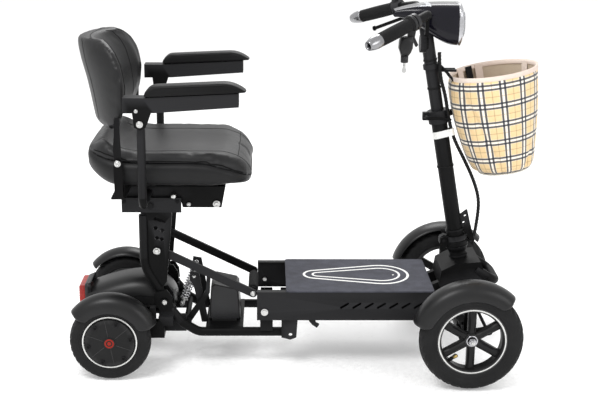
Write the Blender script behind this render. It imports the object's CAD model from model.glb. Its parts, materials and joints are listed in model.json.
"""Looks of the folding mobility scooter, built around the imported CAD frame. Metres, +X forward, +Z up."""
import json
import math

import bmesh
import bpy
from mathutils import Matrix, Vector
from mathutils.bvhtree import BVHTree


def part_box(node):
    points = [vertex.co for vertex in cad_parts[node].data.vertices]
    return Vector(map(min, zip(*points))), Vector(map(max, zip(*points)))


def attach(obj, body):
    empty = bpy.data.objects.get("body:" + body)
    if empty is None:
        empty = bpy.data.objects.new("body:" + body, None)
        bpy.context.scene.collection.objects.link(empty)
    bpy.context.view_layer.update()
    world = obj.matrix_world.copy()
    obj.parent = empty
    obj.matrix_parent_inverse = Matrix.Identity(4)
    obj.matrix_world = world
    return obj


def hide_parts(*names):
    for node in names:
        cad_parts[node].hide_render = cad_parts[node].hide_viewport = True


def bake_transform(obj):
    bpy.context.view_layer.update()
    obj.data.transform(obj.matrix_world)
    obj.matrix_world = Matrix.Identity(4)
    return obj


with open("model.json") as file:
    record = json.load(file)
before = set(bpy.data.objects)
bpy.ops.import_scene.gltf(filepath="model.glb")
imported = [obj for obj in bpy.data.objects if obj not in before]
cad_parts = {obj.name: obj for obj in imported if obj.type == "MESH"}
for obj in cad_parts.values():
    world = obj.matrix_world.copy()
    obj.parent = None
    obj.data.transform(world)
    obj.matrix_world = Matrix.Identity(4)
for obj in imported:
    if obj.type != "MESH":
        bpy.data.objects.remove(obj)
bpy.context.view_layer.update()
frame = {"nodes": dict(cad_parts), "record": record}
scene = bpy.context.scene
SIDES = {"left": 1, "right": -1}


# ---------------------------------------------------------------- materials
def new_material(name):
    """Empty node material and its shader."""
    mat = bpy.data.materials.new(name)
    mat.use_nodes = True
    return mat, mat.node_tree.nodes["Principled BSDF"]


def add_node(mat, kind, **values):
    node = mat.node_tree.nodes.new(kind)
    for key, value in values.items():
        if key in node.inputs:
            node.inputs[key].default_value = value
        else:
            setattr(node, key.lower(), value)
    return node


def join(mat, source, target):
    mat.node_tree.links.new(source, target)


def ramp(mat, source, low, high, stops=(0.0, 1.0)):
    """Colour ramp between two colours or two grey levels."""
    node = mat.node_tree.nodes.new("ShaderNodeValToRGB")
    for element, stop, value in zip(node.color_ramp.elements, stops, (low, high)):
        element.position = stop
        element.color = (*value, 1) if isinstance(value, tuple) else (value, value, value, 1)
    join(mat, source, node.inputs["Fac"])
    return node.outputs["Color"]


def math_step(mat, operation, source, value=None):
    """Math node on one linked value and, where it takes two, a constant."""
    node = add_node(mat, "ShaderNodeMath", operation=operation)
    join(mat, source, node.inputs[0])
    if value is not None:
        node.inputs[1].default_value = value
    return node.outputs[0]


def mix(mat, factor, first, second, mode="MIX"):
    """Colour mix; the factor and the second colour are each a socket or a constant."""
    node = mat.node_tree.nodes.new("ShaderNodeMix")
    node.data_type = "RGBA"
    node.blend_type = mode
    for socket, value in (("Factor", factor), ("A", first), ("B", second)):
        if isinstance(value, bpy.types.NodeSocket):
            join(mat, value, node.inputs[socket])
        else:
            node.inputs[socket].default_value = value
    return node.outputs["Result"]


def relief(mat, shader, height, strength, distance):
    """Bump from a height value."""
    node = add_node(mat, "ShaderNodeBump", Strength=strength, Distance=distance)
    join(mat, height, node.inputs["Height"])
    join(mat, node.outputs["Normal"], shader.inputs["Normal"])


def surface(name, dark, light, rough, metal=0.0, grain=600.0, bump=0.1, kind="noise", mottle=9.0, wear=None,
            stops=(0.3, 0.7), **shader_values):
    """Procedural finish: mottled colour, uneven roughness, fine grain as bump and lighter worn edges."""
    mat, shader = new_material(name)
    where = add_node(mat, "ShaderNodeTexCoord").outputs["Object"]
    broad = add_node(mat, "ShaderNodeTexNoise", Scale=mottle, Detail=6.0)
    join(mat, where, broad.inputs["Vector"])
    colour = ramp(mat, broad.outputs["Fac"], dark, light, stops)
    if kind == "noise":
        fine = add_node(mat, "ShaderNodeTexNoise", Scale=grain, Detail=3.0)
        height = fine.outputs["Fac"]
    else:
        fine = add_node(mat, "ShaderNodeTexVoronoi", Scale=grain)
        height = fine.outputs["Distance"]
    join(mat, where, fine.inputs["Vector"])
    colour = mix(mat, 0.35, colour, ramp(mat, height, 0.45, 1.0, (0.25, 0.65)), "MULTIPLY")
    if wear:
        edges = add_node(mat, "ShaderNodeNewGeometry").outputs["Pointiness"]
        colour = mix(mat, ramp(mat, edges, 0.0, 0.6, (0.52, 0.62)), colour, (*wear, 1))
    join(mat, colour, shader.inputs["Base Color"])
    join(mat, ramp(mat, broad.outputs["Fac"], max(0.0, rough - 0.07), min(1.0, rough + 0.07)),
         shader.inputs["Roughness"])
    relief(mat, shader, height, bump, 0.0006)
    shader.inputs["Metallic"].default_value = metal
    for key, value in shader_values.items():
        shader.inputs[key.replace("_", " ")].default_value = value
    return mat


def grey(low, high=None):
    high = low * 1.5 if high is None else high
    return (low, low, low * 1.04), (high, high, high * 1.04)


MATT = 0.20  # specular level of the dull black finishes
STEEL = surface("powder_coated_steel", *grey(0.0025, 0.006), 0.45, grain=900.0, bump=0.25,
                wear=(0.03, 0.03, 0.032), Specular_IOR_Level=0.08)
SATIN = surface("satin_black_plastic", *grey(0.007, 0.012), 0.34, grain=1400.0, bump=0.12,
                wear=(0.03, 0.03, 0.032), Specular_IOR_Level=0.26)
SHELL = surface("seat_shell_plastic", *grey(0.008, 0.014), 0.44, grain=800.0, bump=0.3,
                Specular_IOR_Level=0.18)
VINYL = surface("grained_vinyl", *grey(0.010, 0.017), 0.42, grain=520.0, bump=0.35, kind="voronoi",
                mottle=5.0, Specular_IOR_Level=0.22)
ARM_SKIN = surface("moulded_arm_skin", *grey(0.004, 0.008), 0.46, grain=700.0, bump=0.3, kind="voronoi",
                   mottle=5.0, Specular_IOR_Level=0.12)
PIPING = surface("vinyl_piping", *grey(0.0015, 0.004), 0.6, grain=700.0, bump=0.2, Specular_IOR_Level=0.1)
TYRE = surface("tyre_rubber", *grey(0.005, 0.011), 0.66, grain=500.0, bump=0.3, mottle=20.0,
               Specular_IOR_Level=MATT)
RIM = surface("cast_rim", *grey(0.004, 0.008), 0.4, grain=700.0, bump=0.15, wear=(0.06, 0.06, 0.06),
              Specular_IOR_Level=MATT)
GRIP_TAPE = surface("grip_tape", (0.030, 0.031, 0.042), (0.060, 0.062, 0.080), 0.88, grain=1100.0, bump=0.9,
                    mottle=40.0)
FOAM = surface("foam_rubber", *grey(0.006, 0.012), 0.85, grain=1500.0, bump=0.7, kind="voronoi",
               Specular_IOR_Level=MATT)
WRAP = surface("cable_wrap", *grey(0.003, 0.006), 0.5, grain=900.0, bump=0.3, Specular_IOR_Level=MATT)
GLOSS = surface("gloss_black", (0.004, 0.004, 0.007), (0.007, 0.006, 0.011), 0.16, grain=60.0, bump=0.01,
                Coat_Weight=0.06, Specular_IOR_Level=0.2)
CHROME = surface("chrome", (0.46, 0.46, 0.48), (0.62, 0.62, 0.64), 0.16, metal=1.0, grain=200.0, bump=0.04)
BAR_END = surface("brushed_bar_end", (0.30, 0.30, 0.31), (0.42, 0.42, 0.43), 0.26, metal=1.0, grain=300.0,
                  bump=0.05)
ZINC = surface("bright_zinc", (0.50, 0.50, 0.50), (0.72, 0.72, 0.70), 0.28, metal=1.0, grain=500.0, bump=0.12)
BRASS = surface("brass", (0.5, 0.36, 0.12), (0.66, 0.48, 0.2), 0.3, metal=1.0, grain=400.0, bump=0.1)
SILVER = surface("silver_panel", (0.30, 0.31, 0.33), (0.42, 0.43, 0.45), 0.32, metal=0.7, grain=900.0,
                 bump=0.08)
WHITE = surface("white_paint", (0.78, 0.78, 0.76), (0.86, 0.86, 0.84), 0.5, grain=400.0, bump=0.1)
RED_LENS = surface("red_lens", (0.24, 0.010, 0.008), (0.36, 0.022, 0.015), 0.22, grain=120.0, bump=0.25,
                   kind="voronoi", Coat_Weight=0.1, Specular_IOR_Level=0.25)
RED_CAP = surface("red_cap", (0.22, 0.012, 0.006), (0.30, 0.022, 0.012), 0.4, grain=600.0, bump=0.1,
                  Specular_IOR_Level=0.15)
CASE = surface("battery_case", *grey(0.004, 0.008), 0.5, grain=700.0, bump=0.2, Specular_IOR_Level=MATT)
HEM = surface("hem_cloth", (0.70, 0.57, 0.49), (0.82, 0.71, 0.63), 0.85, grain=900.0, bump=0.5,
              Sheen_Weight=0.2)
LINING = surface("basket_lining", (0.55, 0.45, 0.34), (0.66, 0.56, 0.44), 0.9, grain=900.0, bump=0.5)
WEBBING = surface("black_webbing", *grey(0.005, 0.010), 0.8, grain=900.0, bump=0.6, Specular_IOR_Level=MATT)
SCREEN = surface("display_screen", (0.01, 0.02, 0.03), (0.02, 0.035, 0.045), 0.1, grain=50.0, bump=0.01,
                 Coat_Weight=0.5)


def lens_material():
    """Clear ribbed lens over the headlight reflector."""
    mat, shader = new_material("clear_lens")
    where = add_node(mat, "ShaderNodeTexCoord").outputs["Object"]
    ribs = add_node(mat, "ShaderNodeTexWave", Scale=60.0, Distortion=0.0)
    ribs.bands_direction = "Y"
    join(mat, where, ribs.inputs["Vector"])
    relief(mat, shader, ribs.outputs["Fac"], 0.25, 0.001)
    join(mat, ramp(mat, ribs.outputs["Fac"], (0.82, 0.85, 0.88), (0.93, 0.95, 0.97)),
         shader.inputs["Base Color"])
    shader.inputs["Transmission Weight"].default_value = 0.75
    shader.inputs["Roughness"].default_value = 0.06
    shader.inputs["IOR"].default_value = 1.45
    return mat


def plaid_material(name, weave_scale):
    """Woven tan cloth with a plain generic check, drawn along and across by the cloth's own map."""
    mat, shader = new_material(name)
    split = add_node(mat, "ShaderNodeSeparateXYZ")
    join(mat, add_node(mat, "ShaderNodeTexCoord").outputs["UV"], split.inputs["Vector"])
    base = add_node(mat, "ShaderNodeTexNoise", Scale=30.0, Detail=4.0)
    colour = ramp(mat, base.outputs["Fac"], (0.70, 0.50, 0.25), (0.80, 0.60, 0.34))

    def stripe(axis, at, width, tint, strength):
        """Bands of one colour, repeated every unit of the map."""
        nonlocal colour
        cycle = math_step(mat, "FRACT", math_step(mat, "ADD", split.outputs[axis], 0.5 - at))
        distance = math_step(mat, "ABSOLUTE", math_step(mat, "SUBTRACT", cycle, 0.5))
        inside = math_step(mat, "LESS_THAN", distance, width / 2)
        colour = mix(mat, math_step(mat, "MULTIPLY", inside, strength), colour, (*tint, 1))

    white, navy, brown = (0.90, 0.88, 0.82), (0.005, 0.008, 0.020), (0.20, 0.13, 0.07)
    for axis in (0, 1):
        stripe(axis, 0.0, 0.36, white, 0.70)
    for axis in (0, 1):
        stripe(axis, 0.11, 0.105, navy, 0.90)
        stripe(axis, -0.11, 0.105, navy, 0.90)
        stripe(axis, 0.5, 0.04, brown, 0.45)
    join(mat, colour, shader.inputs["Base Color"])
    weave = add_node(mat, "ShaderNodeTexVoronoi", Scale=weave_scale)
    join(mat, add_node(mat, "ShaderNodeTexCoord").outputs["Object"], weave.inputs["Vector"])
    relief(mat, shader, weave.outputs["Distance"], 0.35, 0.0005)
    shader.inputs["Roughness"].default_value = 0.82
    shader.inputs["Sheen Weight"].default_value = 0.15
    return mat


CLEAR = lens_material()
PLAID = plaid_material("checked_cloth", 900.0)

FINISHES = {"black_steel": STEEL, "deck_grip": GRIP_TAPE, "battery_case": CASE, "bolt_steel": ZINC,
            "black_plastic": SATIN, "gloss_black": GLOSS, "red_lens": RED_LENS, "clear_lens": CLEAR,
            "tyre_rubber": TYRE, "rim_black": RIM, "vinyl": VINYL, "foam_grip": FOAM, "basket_cloth": PLAID,
            "cable_wrap": WRAP}
# Slot of the added pieces by their finish, where a piece doesn't state another
SLOT_OF = {mat.name: slot for slot, mat in FINISHES.items()}
for slot, mats in (("bolt_steel", (CHROME, BAR_END, BRASS, SILVER, WHITE)), ("vinyl", (ARM_SKIN, PIPING)),
                   ("black_plastic", (SHELL,)), ("red_lens", (RED_CAP,)), ("gloss_black", (SCREEN,)),
                   ("basket_cloth", (HEM, LINING, WEBBING))):
    SLOT_OF.update({mat.name: slot for mat in mats})


def dress_frame():
    """Gives every CAD node the finish of its material slot."""
    slots = {entry["node"]: entry["material_slot"] for entry in frame["record"]["subparts"]}
    for name, obj in frame["nodes"].items():
        obj.data.materials.clear()
        obj.data.materials.append(FINISHES[slots[name]])


# ---------------------------------------------------------------- mesh helpers
def piece(name, verts, faces, mat, body, slot=None, smooth=True, bevel=0.0, subdivide=0):
    """New visible piece that rides on a CAD body."""
    mesh = bpy.data.meshes.new(name)
    mesh.from_pydata([tuple(v) for v in verts], [], faces)
    bm = bmesh.new()
    bm.from_mesh(mesh)
    bmesh.ops.recalc_face_normals(bm, faces=bm.faces)
    bm.to_mesh(mesh)
    bm.free()
    obj = bpy.data.objects.new(name, mesh)
    scene.collection.objects.link(obj)
    mesh.materials.append(mat)
    if smooth:
        mesh.shade_smooth()
    if bevel:
        rounding = obj.modifiers.new("rounding", "BEVEL")
        rounding.width = bevel
        rounding.segments = 3
        rounding.limit_method = "ANGLE"
        rounding.angle_limit = math.radians(35)
        rounding.harden_normals = True
    if subdivide:
        obj.modifiers.new("subdivision", "SUBSURF").levels = subdivide
        obj.modifiers["subdivision"].render_levels = subdivide
    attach(obj, body)
    return obj


def frame_of(axis):
    """Unit axis and two directions square to it."""
    axis = Vector(axis).normalized()
    side = axis.orthogonal().normalized()
    if abs(axis.y) > 0.9:
        side = Vector((1, 0, 0))
    side = (side - axis * side.dot(axis)).normalized()
    return axis, side, axis.cross(side)


def turned(name, centre, axis, profile, mat, body, slot=None, segments=64, closed=False, bevel=0.0):
    """Body of revolution from (along, radius) pairs; a closed profile makes a ring, an open one is capped."""
    axis, side, up = frame_of(axis)
    verts, faces = [], []
    for i in range(segments):
        angle = 2 * math.pi * i / segments
        spoke = side * math.cos(angle) + up * math.sin(angle)
        verts += [Vector(centre) + axis * along + spoke * radius for along, radius in profile]
    count = len(profile)
    steps = count if closed else count - 1
    for i in range(segments):
        here, there = i * count, ((i + 1) % segments) * count
        for k in range(steps):
            nxt = (k + 1) % count
            faces.append((here + k, there + k, there + nxt, here + nxt))
    if not closed:
        faces.append([i * count for i in range(segments)])
        faces.append([i * count + count - 1 for i in range(segments)])
    return piece(name, verts, faces, mat, body, slot, bevel=bevel)


def tube(name, points, radius, mat, body, kind="POLY"):
    """Round cord or bar along points, as a curve."""
    curve = bpy.data.curves.new(name, "CURVE")
    curve.dimensions = "3D"
    curve.bevel_depth = radius
    curve.bevel_resolution = 4
    curve.resolution_u = 8
    curve.use_fill_caps = True
    spline = curve.splines.new(kind)
    spline.points.add(len(points) - 1)
    for point, where in zip(spline.points, points):
        point.co = (*where, 1)
    if kind == "NURBS":
        spline.order_u = 3
        spline.use_endpoint_u = True
    obj = bpy.data.objects.new(name, curve)
    scene.collection.objects.link(obj)
    curve.materials.append(mat)
    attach(obj, body)
    return obj


def slab(name, outline, y0, y1, mat, body, slot=None, bevel=0.001):
    """Plate with an x-z outline, standing between two y values in either order."""
    y0, y1 = sorted((y0, y1))
    count = len(outline)
    verts = [(x, y0, z) for x, z in outline] + [(x, y1, z) for x, z in outline]
    faces = [list(range(count)), list(range(2 * count - 1, count - 1, -1))]
    faces += [(i, (i + 1) % count, (i + 1) % count + count, i + count) for i in range(count)]
    return piece(name, verts, faces, mat, body, slot, smooth=False, bevel=bevel)


def loft(name, rings, mat, body, slot=None, **options):
    """Closed skin through rings of equal point count, capped at both ends."""
    count = len(rings[0])
    verts = [v for ring in rings for v in ring]
    faces = [list(range(count)), [len(verts) - 1 - i for i in range(count)]]
    for r in range(len(rings) - 1):
        base = r * count
        faces += [(base + i, base + (i + 1) % count, base + count + (i + 1) % count, base + count + i)
                  for i in range(count)]
    return piece(name, verts, faces, mat, body, slot, **options)


def ring_faces(rows, count):
    """Faces through rows of points, where both the rows and their points close into a ring."""
    faces = []
    for r in range(rows):
        here, there = r * count, ((r + 1) % rows) * count
        faces += [(here + k, here + (k + 1) % count, there + (k + 1) % count, there + k)
                  for k in range(count)]
    return faces


def signed_power(value, power):
    return math.copysign(abs(value) ** power, value)


def in_xz(angle):
    """Unit vector in the x-z plane at an angle from +x."""
    return Vector((math.cos(angle), 0, math.sin(angle)))


def rounded_ring(x, width, height, middle_z, corner):
    """Rounded rectangle in a plane square to x."""
    points, count = [], 8
    for cy, cz, start in ((1, 1, 0), (-1, 1, 90), (-1, -1, 180), (1, -1, 270)):
        for i in range(count):
            angle = math.radians(start + 90 * i / (count - 1))
            points.append(Vector((x, cy * (width / 2 - corner) + corner * math.cos(angle),
                                  middle_z + cz * (height / 2 - corner) + corner * math.sin(angle))))
    return points


def bolt(name, centre, axis, radius, body, height=0.004):
    """Silver hexagon-socket bolt head on a washer."""
    turned(f"{name}_washer", centre, axis,
           [(0, radius * 1.25), (0.0009, radius * 1.25), (0.0012, radius * 1.1)], ZINC, body, segments=32)
    profile = [(0.001, radius), (height * 0.7, radius), (height, radius * 0.8), (height, radius * 0.5)]
    profile += [(height * 0.55, radius * 0.45), (height * 0.5, 0.0002)]
    return turned(name, centre, axis, profile, ZINC, body, segments=6 if radius > 0.0055 else 24,
                  bevel=0.0004)


def apply_modifiers(obj):
    """Replaces the mesh with its evaluated self."""
    depsgraph = bpy.context.evaluated_depsgraph_get()
    mesh = bpy.data.meshes.new_from_object(obj.evaluated_get(depsgraph))
    obj.modifiers.clear()
    obj.data = mesh


def upholster(obj, smooth_steps, cap):
    """Padded form: even skin, rounded edges, then blown up by cloth pressure, each point's travel capped."""
    remesh = obj.modifiers.new("skin", "REMESH")
    remesh.mode = "VOXEL"
    remesh.voxel_size = 0.006
    rounding = obj.modifiers.new("rounding", "SMOOTH")
    rounding.factor = 0.5
    rounding.iterations = smooth_steps
    apply_modifiers(obj)
    start = [v.co.copy() for v in obj.data.vertices]
    cloth = obj.modifiers.new("cloth", "CLOTH")
    cloth.settings.use_pressure = True
    cloth.settings.uniform_pressure_force = 4.0
    cloth.settings.effector_weights.gravity = 0.0
    cloth.settings.quality = 4
    cloth.collision_settings.use_collision = False
    for step in range(1, 21):
        scene.frame_set(step)
    apply_modifiers(obj)
    for vertex, before in zip(obj.data.vertices, start):
        travel = vertex.co - before
        if travel.length > cap:
            vertex.co = before + travel.normalized() * cap
    scene.frame_set(1)
    obj.data.shade_smooth()
    finer = obj.modifiers.new("subdivision", "SUBSURF")
    finer.levels = 1
    finer.render_levels = 1


def seam(name, obj, points, radius, body, steps=8, sink=0.4):
    """Piping or sewn line that follows the skin of a soft piece through the given points."""
    tree = BVHTree.FromObject(obj, bpy.context.evaluated_depsgraph_get())
    route = []
    for a, b in zip(points, points[1:]):
        for i in range(steps):
            where, normal, _, _ = tree.find_nearest(Vector(a).lerp(Vector(b), i / steps))
            route.append(where - normal * radius * sink)
    where, normal, _, _ = tree.find_nearest(Vector(points[-1]))
    route.append(where - normal * radius * sink)
    return tube(name, route, radius, PIPING, body)


def arc(start, middle, end, count):
    """Points on the circle through three points in one plane, both ends included."""
    a, b, c = Vector(start), Vector(middle), Vector(end)
    ab, ac = b - a, c - a
    normal = ab.cross(ac)
    offset = normal.cross(ab) * ac.length_squared + ac.cross(normal) * ab.length_squared
    centre = a + offset / (2 * normal.length_squared)
    first = a - centre
    total = first.angle(b - centre) + (b - centre).angle(c - centre)
    turn = [Matrix.Rotation(total * i / (count - 1), 3, normal.normalized()) for i in range(count)]
    return [centre + matrix @ first for matrix in turn]


# ---------------------------------------------------------------- places read from the frame
def box_of(node):
    """Low and high corner of a CAD node's box."""
    return tuple(Vector(v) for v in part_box(node))


JOINTS = {joint["name"]: joint for joint in frame["record"]["behaviour"]["joints"]}


def pivot(joint):
    return Vector(JOINTS[joint]["pos_m"])


RAKE_AXIS = Vector(JOINTS["steer"]["axis"]).normalized()
RAKE_FORWARD = Vector((RAKE_AXIS.z, 0, -RAKE_AXIS.x))


def on_column(z):
    """Point of the steering axis at a height."""
    base = pivot("steer")
    return base + RAKE_AXIS * ((z - base.z) / RAKE_AXIS.z)


dress_frame()

# ---------------------------------------------------------------- camera, floor and light
camera_data = bpy.data.cameras.new("camera")
camera_data.lens = 69.0
camera_data.sensor_width = 36.0
camera = bpy.data.objects.new("camera", camera_data)
right = Vector((0.9996, -0.0267, 0.0108)).normalized()
forward = Vector((0.0287, 0.9603, -0.2775))
forward = (forward - right * forward.dot(right)).normalized()
above = right.cross(forward)
turn = Matrix((right, above, -forward)).transposed().to_4x4()
camera.matrix_world = Matrix.Translation((-0.0954, -2.8283, 1.2050)) @ turn
scene.collection.objects.link(camera)
scene.camera = camera


def make_stage():
    """Pale floor, even studio sky and three soft area lights."""
    bpy.ops.mesh.primitive_plane_add(size=120, location=(0, 0, -0.0005))
    floor = bpy.context.active_object
    floor.name = "floor"
    pale = surface("pale_floor", (0.86, 0.86, 0.86), (0.90, 0.90, 0.90), 0.7, grain=80.0, bump=0.0,
                   stops=(0.0, 1.0), Specular_IOR_Level=0.1, Emission_Color=(1, 1, 1, 1),
                   Emission_Strength=0.22)
    floor.data.materials.append(pale)
    world = bpy.data.worlds.new("studio")
    world.use_nodes = True
    world.node_tree.nodes["Background"].inputs["Color"].default_value = (1, 1, 1, 1)
    world.node_tree.nodes["Background"].inputs["Strength"].default_value = 1.0
    scene.world = world
    lights = {"key": ((-1.2, -1.6, 3.0), 1.2, 60), "fill": ((2.4, -2.2, 1.8), 1.6, 24),
              "back": ((0.2, 2.2, 2.8), 1.4, 45)}
    for name, (where, size, power) in lights.items():
        data = bpy.data.lights.new(name, "AREA")
        data.size = size
        data.energy = power
        light = bpy.data.objects.new(name, data)
        light.location = where
        light.rotation_euler = (Vector((0, 0, 0.4)) - Vector(where)).to_track_quat("-Z", "Y").to_euler()
        scene.collection.objects.link(light)


make_stage()
scene.view_settings.view_transform = "Standard"

# ---------------------------------------------------------------- cable harness
CABLE_ROUTE = [
    (0.326, -0.024, 0.792), (0.328, -0.024, 0.738), (0.346, -0.024, 0.684), (0.354, -0.025, 0.636),
    (0.370, -0.022, 0.578), (0.402, -0.018, 0.520), (0.428, -0.016, 0.468), (0.445, -0.016, 0.418),
    (0.444, -0.017, 0.368), (0.437, -0.018, 0.318),
]


def spline_points(obj):
    """Points along a curve's own line."""
    shown = obj.data.bevel_depth
    obj.data.bevel_depth = 0.0
    line = bpy.data.meshes.new_from_object(obj.evaluated_get(bpy.context.evaluated_depsgraph_get()))
    obj.data.bevel_depth = shown
    return [v.co.copy() for v in line.vertices]


def curve_to_mesh(obj):
    """Mesh piece with the same skin as a curve, with no parent; the curve is removed."""
    name = obj.name
    obj.parent = None
    mesh = bpy.data.meshes.new_from_object(obj.evaluated_get(bpy.context.evaluated_depsgraph_get()))
    bpy.data.objects.remove(obj)
    solid = bpy.data.objects.new(name, mesh)
    solid.name = name
    scene.collection.objects.link(solid)
    mesh.shade_smooth()
    return solid


def make_cable():
    """Spiral-wrapped harness that follows the handlebar at its top and the column at its foot."""
    sleeve = tube("cable_sleeve", CABLE_ROUTE, 0.00425, WRAP, "column", kind="NURBS")
    bpy.context.view_layer.update()
    line = spline_points(sleeve)
    lengths = [0.0]
    for a, b in zip(line, line[1:]):
        lengths.append(lengths[-1] + (b - a).length)
    helix, pitch, step = [], 0.009, 0.0009
    steps = int(lengths[-1] / step)
    segment = 0
    for i in range(steps):
        distance = i * lengths[-1] / steps
        while lengths[segment + 1] < distance:
            segment += 1
        a, b = line[segment], line[segment + 1]
        along = (b - a).normalized()
        side = along.cross(Vector((0, 1, 0))).normalized()
        other = along.cross(side)
        angle = 2 * math.pi * distance / pitch
        core = a + along * (distance - lengths[segment])
        helix.append(core + (side * math.cos(angle) + other * math.sin(angle)) * 0.0041)
    spiral = tube("cable_spiral", helix, 0.0010, WRAP, "column")
    sleeve, spiral = curve_to_mesh(sleeve), curve_to_mesh(spiral)
    for obj in (sleeve, spiral):
        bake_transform(obj)
    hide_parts("cable_harness")


make_cable()


# ---------------------------------------------------------------- wheels
def ring_profile(radius, width, y):
    """Section of a flat ring that stands proud of a face at y from the hub's middle."""
    low, high, proud = radius - width / 2, radius + width / 2, y + 0.0006
    return [(y, low), (proud, low), (proud, high), (y, high)]


def make_tyre(name, node, body, half_width, inner, shoulder, bars, groove):
    """Pneumatic tyre with rounded sidewalls, rim bead lines and a moulded tread of slanted bars."""
    low, high = box_of(node)
    hub = (low + high) / 2
    outer = (high.z - low.z) / 2
    section = []
    crown = 15
    for i in range(crown):
        t = -1 + 2 * i / (crown - 1)
        across = shoulder * t
        section.append((across, outer - outer * 0.054 * t ** 2))
    side_points = [(half_width * 0.97, outer * 0.90), (half_width, outer * 0.83),
                   (half_width * 0.96, outer * 0.77), (half_width * 0.90, outer * 0.745),
                   (half_width * 0.92, outer * 0.735), (half_width * 0.82, inner * 1.02),
                   (half_width * 0.74, inner)]
    section += side_points
    section += [(-a, r) for a, r in reversed(side_points)]
    segments = bars * 8
    verts = []
    for i in range(segments):
        angle = 2 * math.pi * i / segments
        for k, (across, radius) in enumerate(section):
            cut = 0.0
            if k < crown:
                phase = (i / 8 + abs(across) / shoulder * 0.9) % 1.0
                if phase < 0.30 and abs(across) > shoulder * 0.16:
                    cut = groove
                if abs(abs(across) - shoulder * 0.14) < shoulder * 0.05:
                    cut = groove
            reach = radius - cut
            verts.append(hub + Vector((math.cos(angle) * reach, across, math.sin(angle) * reach)))
    obj = piece(name, verts, ring_faces(segments, len(section)), TYRE, body)
    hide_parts(node)
    return obj


def make_front_wheel(name, side):
    """Pneumatic tyre, white ring, six-spoke rim, hub collar, valve and wheel nut."""
    body = f"front_wheel_{name}"
    hub = pivot(f"front_wheel_spin_{name}")
    axis = (0, side, 0)
    make_tyre(f"front_tyre_tread_{name}", f"front_tyre_{name}", body, 0.0268, 0.086, 0.0225, 30, 0.0026)
    turned(f"front_white_ring_{name}", hub, axis, ring_profile(0.0807, 0.0042, 0.0195), WHITE, body,
           segments=128, closed=True)
    turned(f"front_rim_lip_{name}", hub, axis,
           [(0.016, 0.0775), (0.0215, 0.079), (0.0215, 0.0785), (0.016, 0.0765)], RIM, body, segments=128,
           closed=True)
    cap = [(0.0138, 0.0062), (0.0138, 0.0145), (0.0165, 0.0140), (0.0172, 0.0118), (0.0160, 0.0104),
           (0.0160, 0.0062)]
    turned(f"hub_collar_{name}", hub, axis, cap, CHROME, body, segments=48, closed=True)
    for i in range(6):
        angle = math.radians(30 + 60 * i)
        spoke, across = in_xz(angle), in_xz(angle + math.pi / 2)
        middle = hub + Vector((0, side * 0.0063, 0))
        rings = []
        for reach, width, height in ((0.016, 0.0085, 0.004), (0.030, 0.0072, 0.0045), (0.058, 0.0078, 0.0045),
                                     (0.0755, 0.0105, 0.003)):
            edge = [(-width, 0), (-width * 0.55, height), (width * 0.55, height), (width, 0), (0, -0.001)]
            rings.append([middle + spoke * reach + across * a + Vector((0, side * h, 0)) for a, h in edge])
        loft(f"spoke_ridge_{name}_{i}", rings, RIM, body, smooth=False, bevel=0.0008)
    inward = Vector((0.62, side * 0.45, 0.64)).normalized()
    stem = hub + Vector((-0.051, side * 0.004, -0.053))
    turned(f"valve_stem_{name}", stem, inward,
           [(0, 0.0046), (0.006, 0.0044), (0.012, 0.0034), (0.022, 0.0030)], TYRE, body, segments=20)
    turned(f"valve_cap_{name}", stem + inward * 0.014, inward,
           [(0, 0.0036), (0.001, 0.0042), (0.010, 0.0042), (0.012, 0.0032)], BRASS, body, segments=12)
    spindle = hub + Vector((0, side * 0.0220, 0))
    turned(f"wheel_nut_{name}", spindle, axis,
           [(0, 0.0098), (0.0012, 0.0106), (0.0022, 0.0098), (0.0022, 0.0086), (0.0066, 0.0086),
            (0.0074, 0.0070), (0.0074, 0.0054)], CHROME, f"front_hub_{name}", segments=6, bevel=0.0003)
    turned(f"wheel_stud_{name}", spindle, axis, [(0.001, 0.0052), (0.0104, 0.0052), (0.0114, 0.0042)], ZINC,
           f"front_hub_{name}", segments=24)


def make_rear_wheel(name, side):
    """Tyre, white ring, and the hub motor's ribs, bolts and red cap."""
    body = f"rear_wheel_{name}"
    hub = pivot(f"rear_wheel_spin_{name}")
    axis = (0, side, 0)
    make_tyre(f"rear_tyre_tread_{name}", f"rear_tyre_{name}", body, 0.0249, 0.067, 0.0205, 34, 0.0014)
    turned(f"rear_white_ring_{name}", hub, axis, ring_profile(0.0655, 0.0034, 0.0197), WHITE, body,
           segments=128, closed=True)
    for i in range(6):
        angle = math.radians(40 + 60 * i)
        spoke, across = in_xz(angle), in_xz(angle + math.pi / 2)
        rings = []
        for reach, lift, half in ((0.016, 0.0256, 0.0012), (0.036, 0.0254, 0.0009), (0.057, 0.0250, 0.0007)):
            edge = [(-half, -0.001), (-half * 0.4, 0.0007), (half * 0.4, 0.0007), (half, -0.001)]
            rings.append([hub + spoke * reach + across * a + Vector((0, side * (lift + h), 0))
                          for a, h in edge])
        loft(f"hub_rib_{name}_{i}", rings, RIM, body)
        angle = math.radians(10 + 60 * i)
        spot = hub + in_xz(angle) * 0.052 + Vector((0, side * 0.0265, 0))
        turned(f"hub_bolt_{name}_{i}", spot, axis,
               [(0, 0.0052), (0.0016, 0.005), (0.0024, 0.0036), (0.0012, 0.0024), (0.0012, 0.0002)], STEEL,
               body, segments=24)
    centre = hub + Vector((0, side * 0.0275, 0))
    turned(f"hub_cap_{name}", centre, axis, [(0, 0.0050), (0.0009, 0.0046), (0.0012, 0.003)], RED_CAP, body,
           segments=32)
    turned(f"hub_cap_ring_{name}", centre, axis, ring_profile(0.0098, 0.0040, 0.0002), RED_CAP, body,
           segments=48, closed=True)


for side_name, side in SIDES.items():
    make_front_wheel(side_name, side)
    make_rear_wheel(side_name, side)


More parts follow.
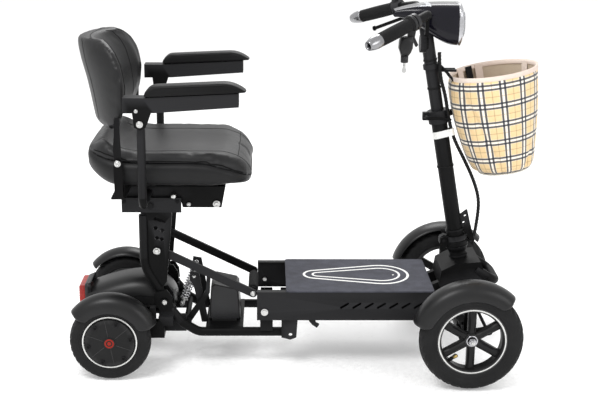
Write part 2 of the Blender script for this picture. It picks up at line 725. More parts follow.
# ---------------------------------------------------------------- seat
def lerp_table(table, x):
    """Linear reading of a short table of (x, value) pairs."""
    if x <= table[0][0]:
        return table[0][1]
    for (x0, v0), (x1, v1) in zip(table, table[1:]):
        if x <= x1:
            return v0 + (v1 - v0) * (x - x0) / (x1 - x0)
    return table[-1][1]


CUSHION_LOW, CUSHION_HIGH = box_of("seat_cushion")
SEAT_HALF = CUSHION_HIGH.y
SEAM = 0.0011  # radius of the sewn lines
# Height of the padding's lower edge, where the plastic seat shell starts, from back to front
SHELL_EDGE = [(-0.538, 0.566), (-0.450, 0.553), (-0.389, 0.550), (-0.330, 0.551), (-0.279, 0.551),
              (-0.231, 0.547), (-0.183, 0.528), (-0.150, 0.508), (-0.126, 0.494)]
# Side view of the padding's top surface at the middle and at the side bolsters
TOP_MIDDLE = [(-0.530, 0.582), (-0.500, 0.590), (-0.450, 0.566), (-0.400, 0.558), (-0.300, 0.560),
              (-0.200, 0.562), (-0.160, 0.552), (-0.140, 0.536), (-0.126, 0.512)]
TOP_SIDE = [(-0.530, 0.584), (-0.500, 0.600), (-0.480, 0.602), (-0.440, 0.580), (-0.400, 0.572),
            (-0.300, 0.574), (-0.200, 0.570), (-0.160, 0.552), (-0.140, 0.534), (-0.126, 0.508)]


def plan_half(x):
    """Half width of the seat in plan, with round front corners and a rounder back."""
    front = CUSHION_HIGH.x - x
    back = x - CUSHION_LOW.x
    half = SEAT_HALF
    for distance, radius in ((front, 0.085), (back, 0.120)):
        if distance < radius:
            half = min(half, SEAT_HALF - radius + math.sqrt(max(0.0, radius ** 2 - (radius - distance) ** 2)))
    return half


def make_seat():
    """Vinyl seat pad over its plastic shell, with piped edge and sewn panels."""
    rear, front = CUSHION_LOW.x + 0.006, CUSHION_HIGH.x - 0.001
    stations = [rear + (front - rear) * i / 30 for i in range(31)]
    pad_rings, shell_rings = [], []
    for x in stations:
        half = plan_half(x) - 0.006
        edge = lerp_table(SHELL_EDGE, x)
        middle, side_top = lerp_table(TOP_MIDDLE, x) - 0.004, lerp_table(TOP_SIDE, x) - 0.004
        ring = []
        for i in range(17):
            t = -1 + 2 * i / 16
            crown = middle + (side_top - middle) * abs(t) ** 2.5
            drop = max(0.0, (abs(t) - 0.86) / 0.14)
            ring.append(Vector((x, half * t * (1 - 0.02 * drop),
                                max(edge + 0.010, crown - 0.012 * drop ** 2))))
        ring += [Vector((x, half, edge)), Vector((x, half - 0.012, edge - 0.004)),
                 Vector((x, -half + 0.012, edge - 0.004)), Vector((x, -half, edge))]
        pad_rings.append(ring)
        low = max(CUSHION_LOW.z + 0.002, 0.482 + 0.05 * max(0.0, (-0.46 - x) / 0.078) ** 1.6)
        low += 0.007 * min(1.0, max(0.0, (x + 0.225) / 0.035))
        lip = edge + 0.0115
        low = min(low, lip - 0.014)
        shell = []
        for t, depth in ((-1, 0), (-0.988, 0.35), (-0.945, 0.72), (-0.85, 0.92), (-0.6, 1), (0.6, 1),
                         (0.85, 0.92), (0.945, 0.72), (0.988, 0.35), (1, 0)):
            shell.append(Vector((x, (half + 0.0035) * t, lip + (low - lip) * depth)))
        shell_rings.append(shell)
    loft("seat_shell", shell_rings, SHELL, "seat", subdivide=1)
    pad = loft("seat_pad", pad_rings, VINYL, "seat")
    upholster(pad, smooth_steps=6, cap=0.007)
    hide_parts("seat_cushion")
    for name, side in SIDES.items():
        rim = []
        for x in stations[1:-1]:
            rim.append(Vector((x, side * (plan_half(x) + 0.004), lerp_table(SHELL_EDGE, x) + 0.0120)))
        seam(f"seat_piping_{name}", pad, rim, 0.0016, "seat", steps=2, sink=0.2)
        seam_y = 0.140 if side < 0 else 0.118
        panel = [(-0.440, side * seam_y, 0.62), (-0.40, side * seam_y, 0.60), (-0.250, side * seam_y, 0.60),
                 (-0.190, side * seam_y * 0.98, 0.59), (-0.150, side * seam_y * 0.94, 0.56),
                 (-0.124, side * seam_y * 0.86, 0.52)]
        seam(f"seat_panel_seam_{name}", pad, panel, SEAM, "seat")
    front_seam = [(-0.150, y / 10 * 0.138, 0.585) for y in range(-10, 11)]
    seam("seat_front_seam", pad, front_seam, SEAM, "seat", steps=3)


# Backrest sections from the bottom up: height, rear x and front x at the middle, wing front x, half width
BACK_SECTIONS = [(0.618, -0.506, -0.464, -0.458, 0.158), (0.634, -0.512, -0.466, -0.444, 0.178),
                 (0.655, -0.517, -0.468, -0.432, 0.188), (0.690, -0.524, -0.472, -0.425, 0.192),
                 (0.731, -0.533, -0.480, -0.423, 0.192), (0.775, -0.545, -0.492, -0.432, 0.184),
                 (0.805, -0.551, -0.504, -0.446, 0.170), (0.826, -0.553, -0.514, -0.464, 0.148),
                 (0.838, -0.551, -0.524, -0.484, 0.120)]


def back_ring(z, rear, front, wing, half):
    """Backrest outline at one height: an arc along the outside and a shallower one along the inside."""
    outside = arc((wing, -half, z), (rear, 0, z), (wing, half, z), 25)
    inside = arc((wing + 0.004, half - 0.030, z), (front, 0, z), (wing + 0.004, -half + 0.030, z), 25)
    return outside + inside


def make_backrest():
    """Wrap-round backrest with panel seams front and rear, on its two steel hinge plates."""
    rings = [back_ring(*section) for section in BACK_SECTIONS]
    pad = loft("backrest_pad", rings, VINYL, "backrest")
    upholster(pad, smooth_steps=14, cap=0.008)
    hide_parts("seat_back")
    for name, side in SIDES.items():
        inner, outer, wrap = [], [], []
        for z, rear, front, wing, half in BACK_SECTIONS[1:]:
            inner.append(Vector((front + 0.030, side * half * 0.60, z)))
            outer.append(Vector((rear + 0.002, side * half * 0.60, z)))
            wrap.append(Vector((wing + 0.012, side * (half - 0.012), z)))
        seam(f"backrest_front_seam_{name}", pad, inner, SEAM, "backrest")
        seam(f"backrest_rear_seam_{name}", pad, outer, SEAM, "backrest")
        seam(f"backrest_edge_piping_{name}", pad, wrap, 0.0018, "backrest", sink=0.3)
        hinge = pivot("backrest_fold")
        outline = [(-0.452, 0.548), (-0.455, 0.585), (-0.4515, 0.620), (-0.4505, 0.655), (-0.447, 0.660),
                   (-0.441, 0.660), (-0.438, 0.655), (-0.4375, 0.620), (-0.436, 0.585), (-0.436, 0.548)]
        slab(f"backrest_hinge_plate_{name}", outline, side * 0.2068, side * 0.2100, STEEL, "backrest")
        slab(f"backrest_hinge_foot_{name}",
             [(-0.451, 0.642), (-0.451, 0.658), (-0.437, 0.658), (-0.437, 0.642)], side * 0.186,
             side * 0.2068, STEEL, "backrest")
        bolt(f"backrest_bolt_{name}", (hinge.x, side * 0.2180, hinge.z), (0, side, 0), 0.0062, "seat")
    crest = [Vector((-0.515, y / 10 * 0.12, 0.86)) for y in range(-10, 11)]
    seam("backrest_crest_seam", pad, crest, SEAM, "backrest", steps=3)


make_seat()
make_backrest()


def make_armrest(name, side):
    """Moulded arm pad with a rounded nose, a soft top and a sewn edge, plus the arm's bolts."""
    low, high = box_of(f"armrest_pad_{name}")
    middle = (low.y + high.y) / 2
    half = (high.y - low.y) / 2 - 0.001
    body = f"armrest_{name}"
    length, climb = high.x - low.x, 0.0117
    rings = []
    for i in range(25):
        t = i / 24
        x = low.x + length * t
        base = low.z + climb * t + 0.0002
        top = high.z - 0.012 + climb * t
        if t < 0.10:
            top -= 0.020 * (1 - t / 0.10) ** 2
        if t > 0.76:
            top -= 0.024 * ((t - 0.76) / 0.24) ** 2.2
        top = min(top, high.z)
        width = half * (1 - 0.10 * max(0.0, (t - 0.85) / 0.15) ** 2)
        ring = [Vector((x, middle - width + 0.002, base)), Vector((x, middle - width, base + 0.004))]
        for k in range(9):
            angle = math.pi * k / 8
            bulge = signed_power(math.cos(angle), 0.35)
            lift = abs(math.sin(angle)) ** 0.45
            ring.append(Vector((x, middle - width * bulge, base + 0.004 + (top - base - 0.004) * lift)))
        ring += [Vector((x, middle + width, base + 0.004)), Vector((x, middle + width - 0.002, base))]
        rings.append(ring)
    pad = loft(f"arm_pad_{name}", rings, ARM_SKIN, body, subdivide=1)
    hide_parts(f"armrest_pad_{name}")
    for edge in (-1, 1):
        line = [Vector((low.x + length * t / 10, middle + edge * (half - 0.004),
                        high.z - 0.019 + climb * t / 10)) for t in range(1, 9)]
        seam(f"arm_pad_seam_{name}_{'outer' if edge == side else 'inner'}", pad, line, 0.0009, body)
    hinge = pivot(f"armrest_flip_{name}")
    bolt(f"arm_bolt_{name}", (hinge.x, hinge.y + side * 0.0232, hinge.z), (0, side, 0), 0.0062, body)
    bolt(f"arm_stop_bolt_{name}", (hinge.x - 0.008, hinge.y + side * 0.0202, hinge.z + 0.030), (0, side, 0),
         0.0035, body, height=0.003)


for side_name, side in SIDES.items():
    make_armrest(side_name, side)


# ---------------------------------------------------------------- frame fittings
def make_frame_bolts():
    """Silver and black bolts on the frame and the seat tray, and the knob under the seat."""
    post, brace, roller = pivot("seat_frame_fold"), pivot("brace_pivot"), pivot("roller_spin")
    for name, side in SIDES.items():
        out = (0, side, 0)
        bolt(f"clamp_bolt_{name}", (post.x, side * 0.1240, post.z), out, 0.0050, "chassis")
        bolt(f"gusset_bolt_{name}", (brace.x, side * 0.1062, brace.z), out, 0.0072, "seat_frame",
             height=0.006)
        bolt(f"roller_bolt_{name}", (roller.x, side * 0.0925, roller.z), out, 0.0055, "brace")
        bolt(f"tray_bolt_front_{name}", (-0.219, side * 0.1142, 0.429), out, 0.0072, "seat", height=0.005)
        bolt(f"tray_bolt_rear_{name}", (-0.287, side * 0.1142, 0.428), out, 0.0040, "seat")
        for i, (x, z) in enumerate(((-0.444, 0.437), (-0.314, 0.437))):
            turned(f"bracket_bolt_{name}_{i}", (x, side * 0.1220, z), out,
                   [(0, 0.0055), (0.0015, 0.005), (0.002, 0.003)], STEEL, "seat", segments=24)
    knob = (-0.323, -0.1100, 0.452)
    turned("seat_knob", knob, (0, -1, 0),
           [(0, 0.003), (0.008, 0.003), (0.008, 0.0062), (0.010, 0.0068), (0.018, 0.0068), (0.021, 0.005),
            (0.022, 0.0005)], ZINC, "seat", segments=32)


def make_rear_springs():
    """Coil spring, damper rod, end eyes and cross pins of the two rear springs."""
    for name, side in SIDES.items():
        foot, head = Vector((-0.313, side * 0.041, 0.142)), Vector((-0.281, side * 0.041, 0.222))
        run = (head - foot).normalized()
        length = (head - foot).length
        _, across, up = frame_of(run)
        turns, steps = 7, 24
        coil = []
        for i in range(turns * steps + 1):
            angle = 2 * math.pi * i / steps
            where = foot + run * (0.016 + 0.052 * i / (turns * steps))
            coil.append(where + (across * math.cos(angle) + up * math.sin(angle)) * 0.0088)
        spring = tube(f"coil_spring_{name}", coil, 0.0015, CHROME, "chassis")
        rod_profile = [(0.004, 0.0044), (0.013, 0.0044), (0.013, 0.0100), (0.0155, 0.0100), (0.0155, 0.0042),
                       (0.069, 0.0042), (0.069, 0.0108), (0.0735, 0.0108), (0.0735, 0.0040),
                       (length - 0.004, 0.0040)]
        turned(f"spring_rod_{name}", foot, run, rod_profile, ZINC, "chassis", segments=32, bevel=0.0003)
        for tag, end, reach in (("low", foot, (0.020, 0.046)), ("high", head, (0.0365, 0.066))):
            turned(f"spring_eye_{tag}_{name}", end - Vector((0, 0.0045, 0)), (0, 1, 0),
                   [(0, 0.0064), (0.009, 0.0064)], ZINC, "chassis", segments=32, bevel=0.0005)
            y0, y1 = sorted((side * reach[0], side * reach[1]))
            turned(f"spring_pin_{tag}_{name}", (end.x, y0, end.z), (0, 1, 0),
                   [(0, 0.0034), (0.001, 0.0038), (y1 - y0 - 0.001, 0.0038), (y1 - y0, 0.0034)], ZINC,
                   "chassis", segments=24)
        if name == "left":
            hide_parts("rear_springs")


def make_tail_light_ribs():
    """Moulded ribs across the tail light's lens."""
    low, high = box_of("tail_light")
    rib_x = low.x - 0.0004
    for i in range(5):
        z = low.z + 0.010 + (high.z - low.z - 0.020) * i / 4
        tube(f"tail_light_rib_{i}", [(rib_x, low.y + 0.008, z), (rib_x, high.y - 0.008, z)], 0.0008, RED_LENS,
             "chassis")


make_frame_bolts()
make_rear_springs()
make_tail_light_ribs()

# Mudguard cross-sections: distance out from the wheel's mid-plane, and radius
FRONT_GUARD = [(-0.0370, 0.1360), (-0.0330, 0.1405), (-0.0240, 0.1455), (-0.0110, 0.1488), (0.0020, 0.1496),
               (0.0140, 0.1478), (0.0240, 0.1430), (0.0310, 0.1360), (0.0350, 0.1270), (0.0366, 0.1180),
               (0.0370, 0.1080)]
REAR_GUARD = [(-0.0340, 0.1060), (-0.0300, 0.1118), (-0.0220, 0.1172), (-0.0100, 0.1208), (0.0020, 0.1218),
              (0.0130, 0.1198), (0.0220, 0.1150), (0.0285, 0.1080), (0.0320, 0.1000), (0.0336, 0.0910),
              (0.0340, 0.0785)]


def quarter_round(distance, radius):
    """Quarter circle from 0 at an edge to 1 at a radius inside it."""
    return math.sqrt(max(0.0, 1 - (1 - min(1.0, distance / radius)) ** 2))


def make_mudguard(name, side, hub, sides, start, end, node, body, round_end):
    """Moulded mudguard: a domed strip over the wheel with a deep outer skirt, round at both ends.

    It runs from one angle to another round the hub, in degrees from +x towards +z.
    """
    rows, wall = 48, 0.0026
    rings = []
    for i in range(rows + 1):
        share = i / rows
        angle = math.radians(start + (end - start) * share)
        span = math.radians(abs(end - start)) * sides[4][1]
        distance = min(share, 1 - share) * span
        skirt = quarter_round(distance, round_end)
        crown = 0.80 + 0.20 * quarter_round(distance, 0.010)
        shoulder = sides[7][1]
        outside, inside = [], []
        for out, radius in sides:
            if radius < shoulder and out > 0:
                radius = shoulder - (shoulder - radius) * skirt
            outside.append((out * crown, radius))
            inner = radius - wall if out < 0.030 else radius
            inside.append(((out - math.copysign(wall, out) if abs(out) > 0.020 else out) * crown, inner))
        ring = []
        for out, radius in outside + inside[::-1]:
            ring.append(hub + in_xz(angle) * radius + Vector((0, side * out, 0)))
        rings.append(ring)
    guard = loft(name, rings, SATIN, body, subdivide=1)
    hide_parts(node)


def make_mudguards():
    """Mudguards on the four wheels, with the front tab on each knuckle and the rear stay on the axle beam."""
    for name, side in SIDES.items():
        hub = pivot(f"front_wheel_spin_{name}")
        body = f"front_hub_{name}"
        make_mudguard(f"front_mudguard_{name}", side, hub, FRONT_GUARD, 164.0, 46.0, f"front_fender_{name}",
                      body, 0.026)
        slab(f"front_mudguard_tab_{name}", [(hub.x - 0.014, hub.z + 0.1335), (hub.x - 0.014, hub.z + 0.139),
                                            (hub.x + 0.014, hub.z + 0.139), (hub.x + 0.014, hub.z + 0.1335)],
             side * 0.208, side * 0.214, STEEL, body, "black_plastic")
        hub = pivot(f"rear_wheel_spin_{name}")
        make_mudguard(f"rear_mudguard_{name}", side, hub, REAR_GUARD, 142.0, 20.0, f"rear_fender_{name}",
                      "chassis", 0.024)
        slab(f"rear_mudguard_stay_{name}",
             [(hub.x + 0.101, 0.128), (hub.x + 0.095, 0.146), (hub.x + 0.092, 0.158), (hub.x + 0.095, 0.172),
              (hub.x + 0.109, 0.172), (hub.x + 0.109, 0.128)], side * 0.134, side * 0.152, STEEL, "chassis",
             "black_plastic")


make_mudguards()

# Rounded motor cover: x, half width, base height and crown height from the rear to the front
COVER_SECTIONS = [(-0.5600, 0.048, 0.134, 0.170), (-0.5560, 0.058, 0.130, 0.178),
                  (-0.5400, 0.066, 0.128, 0.187), (-0.5050, 0.071, 0.128, 0.200),
                  (-0.4600, 0.0725, 0.128, 0.213), (-0.4150, 0.0725, 0.128, 0.218),
                  (-0.3780, 0.071, 0.128, 0.211), (-0.3520, 0.068, 0.128, 0.197),
                  (-0.3340, 0.062, 0.129, 0.174), (-0.3270, 0.052, 0.134, 0.152)]


def make_motor_cover():
    """Domed cover over the rear axle and its panel lines."""
    rings = []
    for x, half, base, crown in COVER_SECTIONS:
        ring = []
        for i in range(21):
            angle = math.pi * i / 20
            across, rise = signed_power(math.cos(angle), 0.62), signed_power(math.sin(angle), 0.62)
            ring.append(Vector((x, half * across, base + (crown - base) * rise)))
        rings.append(ring)
    cover = loft("motor_cover_skin", rings, SATIN, "chassis", subdivide=2)
    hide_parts("motor_cover")
    bpy.context.view_layer.update()
    for name, side in SIDES.items():
        line = [Vector((x, side * (half + 0.01), base + (crown - base) * 0.52))
                for x, half, base, crown in COVER_SECTIONS[1:-1]]
        seam(f"cover_line_{name}", cover, line, 0.0009, "chassis", steps=5)


def make_tail_light_housing():
    """Dark wedge round the tail light."""
    low, high = box_of("tail_light")
    middle = (low.z + high.z) / 2
    width, height = high.y - low.y, high.z - low.z
    rim = []
    for x, grow, corner in ((high.x + 0.016, 0.009, 0.012), (high.x + 0.0010, 0.0040, 0.010),
                            (high.x - 0.0004, 0.0026, 0.009), (high.x, 0.0006, 0.007),
                            (high.x + 0.010, 0.0006, 0.007)):
        rim.append(rounded_ring(x, width + 2 * grow, height + 2 * grow, middle, corner))
    piece("tail_light_housing", [v for ring in rim for v in ring], ring_faces(len(rim), len(rim[0])), SATIN,
          "chassis")


def make_brace_roller():
    """Foam sleeve with rounded ends."""
    low, high = box_of("brace_roller")
    centre = (low + high) / 2
    half = (high.y - low.y) / 2
    shape = [(-half, 0.0058), (-half, 0.0108), (-half + 0.002, 0.0122), (-half + 0.006, 0.0126)]
    shape += [(half - 0.006, 0.0126), (half - 0.002, 0.0122), (half, 0.0108), (half, 0.0058)]
    roller = turned("brace_roller_foam", centre, (0, 1, 0), shape, FOAM, "roller", segments=48, closed=True)
    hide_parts("brace_roller")


make_motor_cover()
make_tail_light_housing()
make_brace_roller()


def make_foot_plate_marks():
    """Double drop-shaped outline on the foot plate, narrow end to the rear, and one small stud."""
    low, high = box_of("foot_plate")
    middle_x = (low.x + high.x) / 2
    top = high.z + 0.0002
    for name, length, big, small, width in (("outer", 0.277, 0.074, 0.034, 0.0062),
                                            ("inner", 0.231, 0.051, 0.017, 0.0054)):
        front_x = middle_x - 0.003 + length / 2 - big
        rear_x = middle_x - 0.003 - length / 2 + small
        lean = math.asin((big - small) / (front_x - rear_x))
        path = []
        for centre_x, radius, start, sweep, steps in (
                (front_x, big, -(math.pi / 2 + lean), math.pi + 2 * lean, 32),
                (rear_x, small, math.pi / 2 + lean, math.pi - 2 * lean, 16)):
            for i in range(steps + 1):
                nx, ny = (f(start + sweep * i / steps) for f in (math.cos, math.sin))
                path.append((centre_x + radius * nx, radius * ny, nx, ny))
        verts = []
        for x, y, nx, ny in path:
            for offset, z in ((0, top - 0.0004), (0, top + 0.0003), (width, top + 0.0003),
                              (width, top - 0.0004)):
                verts.append((x - nx * offset, y - ny * offset, z))
        piece(f"foot_outline_{name}", verts, ring_faces(len(path), 4), WHITE, "chassis", smooth=False)
    turned("foot_stud", (middle_x + 0.094, -0.004, high.z - 0.0005), (0, 0, 1),
           [(0, 0.0032), (0.0012, 0.003), (0.0018, 0.0015)], ZINC, "chassis", segments=24)


make_foot_plate_marks()


# ---------------------------------------------------------------- handlebar
def grip_line(side):
    """Inner end and outer end of a grip's centre line, and its direction."""
    root, tip = Vector((0.240, side * 0.165, 0.880)), Vector((0.142, side * 0.249, 0.843))
    return root, tip, (tip - root).normalized()


def make_grip(name, side):
    """Foam grip with end beads and a hollow tapered chrome bar end."""
    root, tip, run = grip_line(side)
    length = (tip - root).length
    body = "handlebars"
    profile = [(0.0100, 0.0115), (0.0102, 0.0175), (0.0120, 0.0184), (0.0135, 0.0178), (0.0150, 0.0160)]
    rows = 26
    for i in range(rows):
        along = 0.016 + (length - 0.038) * i / (rows - 1)
        swell = 0.0006 * math.sin(math.pi * i / (rows - 1))
        profile += [(along, 0.0154 + swell), (along + 0.0018, 0.0158 + swell)]
    profile += [(length - 0.0194, 0.0150), (length - 0.0192, 0.0112)]
    grip = turned(f"foam_grip_{name}", root, run, profile, FOAM, body, segments=48, closed=True)
    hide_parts(f"grip_{name}")
    taper = [(-0.020, 0.0158), (-0.019, 0.0164), (-0.008, 0.0162), (0.002, 0.0150), (0.010, 0.0128),
             (0.0150, 0.0112), (0.0162, 0.0104), (0.0162, 0.0080), (0.0150, 0.0068)]
    turned(f"bar_end_{name}", tip, run, taper + [(-0.018, 0.0066)], BAR_END, body, segments=48, closed=True)
    turned(f"bar_end_plug_{name}", tip, run,
           [(-0.002, 0.0069), (0.0, 0.0069), (0.0, 0.0030), (0.001, 0.0002)], PIPING, body, "foam_grip",
           segments=24)


for side_name, side in SIDES.items():
    make_grip(side_name, side)


def make_key_switch():
    """Wedge-shaped switch housing under the grip, its lock barrel, and a key with a rounded bow."""
    lock = pivot("key_turn")
    low, high = box_of("key")
    rings = []
    for drop, forward, half_x, half_y in ((0.0500, 0.0035, 0.0145, 0.0150), (0.0400, 0.0025, 0.0165, 0.0165),
                                          (0.0240, 0.0015, 0.0165, 0.0165), (0.0140, 0.0015, 0.0128, 0.0138),
                                          (0.0070, 0.0, 0.0096, 0.0098)):
        ring = []
        for k in range(32):
            angle = 2 * math.pi * k / 32
            reach_x = signed_power(math.cos(angle), 0.6) * half_x
            reach_y = signed_power(math.sin(angle), 0.6) * half_y
            ring.append(Vector((lock.x + forward + reach_x, lock.y + reach_y, high.z - 0.0015 + drop)))
        rings.append(ring)
    housing = loft("key_switch_housing", rings, SATIN, "handlebars")
    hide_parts("key_switch")
    turned("key_switch_barrel", (lock.x, lock.y, high.z - 0.0115), (0, 0, 1),
           [(0, 0.0034), (0, 0.0078), (0.0015, 0.0088), (0.0180, 0.0090), (0.0180, 0.0034)], SATIN,
           "handlebars", segments=40, closed=True)
    root, _, run = grip_line(SIDES["right"])
    turned("key_switch_collar", root, run,
           [(0.0014, 0.0112), (0.0014, 0.0186), (0.0030, 0.0202), (0.0080, 0.0202), (0.0096, 0.0190),
            (0.0096, 0.0112)], SATIN, "handlebars", segments=48, closed=True)
    slab("key_switch_neck", [(lock.x + 0.006, 0.843), (lock.x + 0.006, 0.862), (lock.x + 0.020, 0.866),
                             (lock.x + 0.022, 0.843)], lock.y - 0.002, lock.y + 0.014, SATIN, "handlebars")
    blade = turned("key_shank", (lock.x, lock.y, low.z + 0.017), (0, 0, 1),
                   [(0, 0.0002), (0, 0.0026), (0.0185, 0.0026), (0.0185, 0.0002)], ZINC, "ignition_key",
                   segments=24)
    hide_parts("key")
    bow = [(-0.0026, 0.0200), (0.0026, 0.0200), (0.0030, 0.0120), (0.0046, 0.0085), (0.0050, 0.0045),
           (0.0036, 0.0010), (0.0012, 0.0), (-0.0012, 0.0), (-0.0036, 0.0010), (-0.0050, 0.0045),
           (-0.0046, 0.0085), (-0.0030, 0.0120)]
    slab("key_bow", [(lock.x + x, low.z + z) for x, z in bow], lock.y - 0.0011, lock.y + 0.0011, ZINC,
         "ignition_key", bevel=0.0004)


make_key_switch()


def make_pod():
    """Headlight with reflector, bulb and chrome bezel, and the silver display panel on the back slope."""
    low, high = box_of("headlight_lens")
    z = (low.z + high.z) / 2
    width, height = high.y - low.y, high.z - low.z
    face = low.x
    bezel = []
    for along, grow in ((-0.004, 0.0006), (-0.003, 0.0022), (0.003, 0.0022), (0.0085, -0.006),
                        (0.0095, -0.014), (0.007, -0.016), (0.0005, -0.006)):
        bezel.append(rounded_ring(face + along, width + 2 * grow - 0.001, height + 2 * grow - 0.001, z,
                                  0.030))
    piece("headlight_bezel", [v for ring in bezel for v in ring], ring_faces(len(bezel), len(bezel[0])),
          CHROME, "handlebars")
    glass = []
    for along, shrink in ((0.0070, 0.0155), (0.0105, 0.0165), (0.0140, 0.0200), (0.0162, 0.0280),
                          (0.0168, 0.0380)):
        glass.append(rounded_ring(face + along, width - 2 * shrink, height - 2 * shrink, z,
                                  max(0.006, 0.029 - shrink * 0.6)))
    lens = loft("headlight_glass", glass, CLEAR, "handlebars")
    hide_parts("headlight_lens")
    bowl = [(-0.001, 0.0345), (0.0066, 0.034), (0.0045, 0.031), (0.0025, 0.022), (0.0015, 0.010),
            (0.0012, 0.0005)]
    turned("headlight_reflector", (face, 0, z), (1, 0, 0), bowl, CHROME, "handlebars", segments=64)
    turned("headlight_bulb", (face + 0.001, 0, z), (1, 0, 0),
           [(0, 0.007), (0.002, 0.006), (0.0045, 0.003), (0.005, 0.0005)], WHITE, "handlebars", "clear_lens",
           segments=32)
    slope = [(0.226, 0.0205, 0.8935), (0.250, 0.0290, 0.8990), (0.276, 0.0360, 0.9048),
             (0.300, 0.0400, 0.9082)]
    panel = []
    for x, half, top in slope:
        panel.append([Vector((x, y, top + lift))
                      for y, lift in ((-half, -0.006), (-half * 0.9, 0.0012), (half * 0.9, 0.0012),
                                      (half, -0.006))])
    loft("display_panel", panel, SILVER, "handlebars", smooth=False, bevel=0.001)
    screen = [[Vector((x, y, top + 0.0008 + lift))
               for y, lift in ((-half, 0), (-half, 0.0012), (half, 0.0012), (half, 0))]
              for x, half, top in ((0.254, 0.018, 0.9000), (0.288, 0.022, 0.9068))]
    loft("display_screen", screen, SCREEN, "handlebars", smooth=False, bevel=0.0004)


make_pod()


def make_column_trim():
    """White strap, cable ties and clamp knobs on the steering column."""
    strap = on_column(0.583)
    cable = Vector((0.3685, -0.0220, strap.z))
    round_column, round_cable = 0.0212, 0.0062
    reach = (cable - strap) - RAKE_AXIS * (cable - strap).dot(RAKE_AXIS)
    lean = math.asin((round_column - round_cable) / reach.length)
    ahead = reach.normalized()
    beside = RAKE_AXIS.cross(ahead)
    loop = []
    for middle, radius, start, sweep in ((strap, round_column, math.pi / 2 - lean, math.pi + 2 * lean),
                                         (strap + reach, round_cable, -math.pi / 2 + lean,
                                          math.pi - 2 * lean)):
        for i in range(25):
            angle = start + sweep * i / 24
            loop.append((middle, radius, ahead * math.cos(angle) + beside * math.sin(angle)))
    verts = []
    for middle, radius, out in loop:
        rise = ((middle + out * radius) - strap).dot(ahead) * 0.14
        for inset, up in ((0.0012, -0.0088), (0, -0.0088), (0, 0.0088), (0.0012, 0.0088)):
            verts.append(middle + out * (radius - inset) + RAKE_AXIS * (up + rise))
    piece("white_strap", verts, ring_faces(len(loop), 4), WHITE, "column", "basket_cloth", smooth=False)
    half, thick = 0.002, 0.0012
    for i, (z, around, body) in enumerate(((0.770, 0.0162, "handlebars"), (0.700, 0.0162, "handlebars"),
                                           (0.500, 0.0202, "column"))):
        tie = [(-half, around), (-half, around + thick), (half, around + thick), (half, around)]
        turned(f"cable_tie_{i}", on_column(z), RAKE_AXIS, tie, WEBBING, body, "cable_wrap", segments=40,
               closed=True)
    clamp = on_column(0.632)
    for tag, direction in (("front", 1), ("rear", -1)):
        base = clamp + RAKE_FORWARD * 0.0255 * direction
        turned(f"clamp_nut_{tag}", base, RAKE_FORWARD * direction,
               [(0, 0.0060), (0.004, 0.0060), (0.0045, 0.0085), (0.009, 0.0080), (0.0105, 0.005),
                (0.0105, 0.0004)], STEEL, "column", segments=24, bevel=0.0005)


make_column_trim()


def make_clamp_lever():
    """Slim cam lever of the height clamp, with its cross pin."""
    low, high = box_of("clamp_lever")
    pin = pivot("clamp_release")
    rings = []
    for along, rise, half, thick in ((-0.006, 0.0, 0.0050, 0.0050), (0.004, 0.0008, 0.0056, 0.0052),
                                     (0.018, 0.0016, 0.0044, 0.0044), (0.036, 0.0004, 0.0034, 0.0036),
                                     (0.052, -0.0014, 0.0036, 0.0036), (0.061, -0.0022, 0.0030, 0.0030)):
        centre = Vector((pin.x + along, low.y + 0.0026, pin.z + rise))
        rings.append([centre + Vector((0, math.cos(k * math.pi / 6) * thick / 2,
                                       math.sin(k * math.pi / 6) * half)) for k in range(12)])
    handle = loft("clamp_cam_lever", rings, STEEL, "clamp", subdivide=1)
    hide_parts("clamp_lever")
    near = low.y + 0.0026
    turned("clamp_cam_pin", (pin.x, near, pin.z), (0, 1, 0),
           [(0, 0.0046), (0.016, 0.0048), (0.0285, 0.0050), (0.0290, 0.0030), (high.y - near, 0.0030),
            (high.y - near, 0.0002)], STEEL, "clamp", segments=32)


make_clamp_lever()


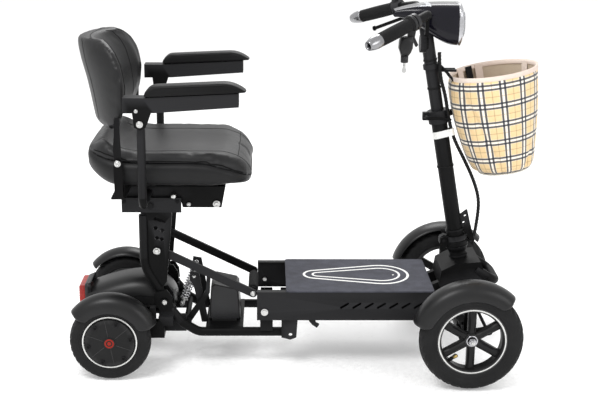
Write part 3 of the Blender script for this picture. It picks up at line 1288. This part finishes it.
# ---------------------------------------------------------------- basket
def make_basket():
    """Soft checked basket: sagging cloth, lining, rolled hem, inner straps and two straps to the column."""
    bottom, top = Vector((0.508, 0, 0.492)), Vector((0.465, 0, 0.748))
    up = (top - bottom).normalized()
    tall = (top - bottom).length
    ahead = Vector((up.z, 0, -up.x))
    across = Vector((0, 1, 0))
    low_r, high_r = 0.073, 0.110
    rows, around = 56, 216
    checks_around, check_height = 13, 0.047

    def crease(value, middle, width):
        """Soft groove, one at its middle and nothing a few widths away."""
        return math.exp(-((value - middle) / width) ** 2)

    def skin(t, angle, inset):
        """Point of the cloth at a height share and angle, with its slack, bulge, folds and pucker."""
        radius = low_r + (high_r - low_r) * t - inset
        turn = angle % (2 * math.pi)
        hang = math.sin(math.pi * min(1.0, t / 0.96)) ** 0.55
        to_front, to_rear = max(0.0, math.cos(turn)), max(0.0, -math.cos(turn))
        bulge = (0.0180 * to_rear + 0.0080 * abs(math.sin(turn)) + 0.0020 * to_front) * hang
        slack = 0.0011 * math.sin(5 * turn + 5 * t) * hang
        fold = -0.0058 * crease(turn, math.radians(212 + 46 * (1 - t)), 0.075) * hang
        fold -= 0.0055 * crease(turn, math.radians(318 - 60 * (0.25 - t)), 0.08) * crease(t, 0.12, 0.14)
        fold -= 0.0040 * crease(turn, math.radians(148 - 40 * (1 - t)), 0.085) * hang
        fold -= 0.0026 * crease(turn, math.radians(40 + 50 * t), 0.09) * crease(t, 0.30, 0.22)
        pucker = -0.0030 * max(0.0, 1 - t / 0.14) * (0.5 + 0.5 * math.sin(13 * turn))
        corner = -0.012 * max(0.0, 1 - t / 0.07) ** 2
        reach = radius + bulge + slack + fold + pucker + corner
        lift = 0.004 * max(0.0, 1 - t / 0.10) * (0.5 - 0.5 * math.cos(turn - 0.5))
        direction = ahead * math.cos(angle) + across * math.sin(angle)
        return bottom + up * (tall * t + 0.0006 + lift) + direction * reach

    def cloth(name, inset, mat, t0):
        verts, faces = [], []
        for r in range(rows + 1):
            t = t0 + (1 - t0) * r / rows
            for a in range(around):
                verts.append(skin(t, 2 * math.pi * a / around, inset))
        for r in range(rows):
            for a in range(around):
                nxt = (a + 1) % around
                faces.append((r * around + a, r * around + nxt, (r + 1) * around + nxt, (r + 1) * around + a))
        obj = piece(name, verts, faces, mat, "handlebars")
        uv = obj.data.uv_layers.new(name="cloth")
        for face in obj.data.polygons:
            columns = [obj.data.loops[i].vertex_index % around for i in face.loop_indices]
            wrap = max(columns) - min(columns) > around / 2
            for i, column in zip(face.loop_indices, columns):
                row = obj.data.loops[i].vertex_index // around
                turn = (column + (around if wrap and column == 0 else 0)) / around
                share = row / rows
                uv.data[i].uv = (turn * checks_around + 0.25, share * tall / check_height)
        thick = obj.modifiers.new("thickness", "SOLIDIFY")
        thick.thickness = 0.0012
        thick.offset = -1
        return obj

    outer = cloth("basket_cloth", 0.0, PLAID, 0.0)
    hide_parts("basket")
    inner = cloth("basket_lining", 0.0022, LINING, 0.012)
    turned("basket_floor", bottom, up,
           [(0.0006, 0.0640), (0.0012, 0.0660), (0.0036, 0.0655), (0.0042, 0.0640)], PLAID, "handlebars",
           segments=96)
    hem = []
    for drop, out in ((-0.0105, 0.0010), (-0.009, 0.0016), (0.0004, 0.0010), (0.0012, -0.0012),
                      (0.0002, -0.0042), (-0.009, -0.0048), (-0.0105, -0.0040)):
        hem.append((drop, high_r + (drop / tall) * (high_r - low_r) + out))
    turned("basket_hem", top, up, hem, HEM, "handlebars", segments=144, closed=True)
    for i, angle in enumerate((134, 117, 101, 30, -40, -75, -140)):
        direction = ahead * math.cos(math.radians(angle)) + across * math.sin(math.radians(angle))
        tangent = up.cross(direction)
        rings = []
        for t in (0.55, 0.70, 0.85, 0.995):
            radius = low_r + (high_r - low_r) * t - 0.0052
            middle = bottom + up * tall * t + direction * radius
            rings.append([middle + tangent * w + direction * d
                          for w, d in ((-0.010, 0), (-0.010, -0.0014), (0.010, -0.0014), (0.010, 0))])
        loft(f"basket_inner_strap_{i}", rings, WEBBING if i in (1, 5) else HEM, "handlebars", smooth=False,
             bevel=0.0004)
    for name, side in SIDES.items():
        start = on_column(0.754) + RAKE_FORWARD * 0.018 + across * side * 0.011
        angle = math.pi - side * 0.30
        end = skin(0.97, angle, -0.0016)
        middle = (start + end) / 2 + Vector((0, side * 0.004, 0.007))
        rings = []
        for i in range(9):
            t = i / 8
            where = start * (1 - t) ** 2 + middle * 2 * t * (1 - t) + end * t ** 2
            rings.append([where + Vector((0, 0, h)) + across * w
                          for w, h in ((-0.0011, -0.005), (-0.0011, 0.005), (0.0011, 0.005),
                                       (0.0011, -0.005))])
        loft(f"basket_strap_{name}", rings, WEBBING, "handlebars", "cable_wrap", smooth=False, bevel=0.0005)


make_basket()

# ---------------------------------------------------------------- hand over
scene.frame_set(1)
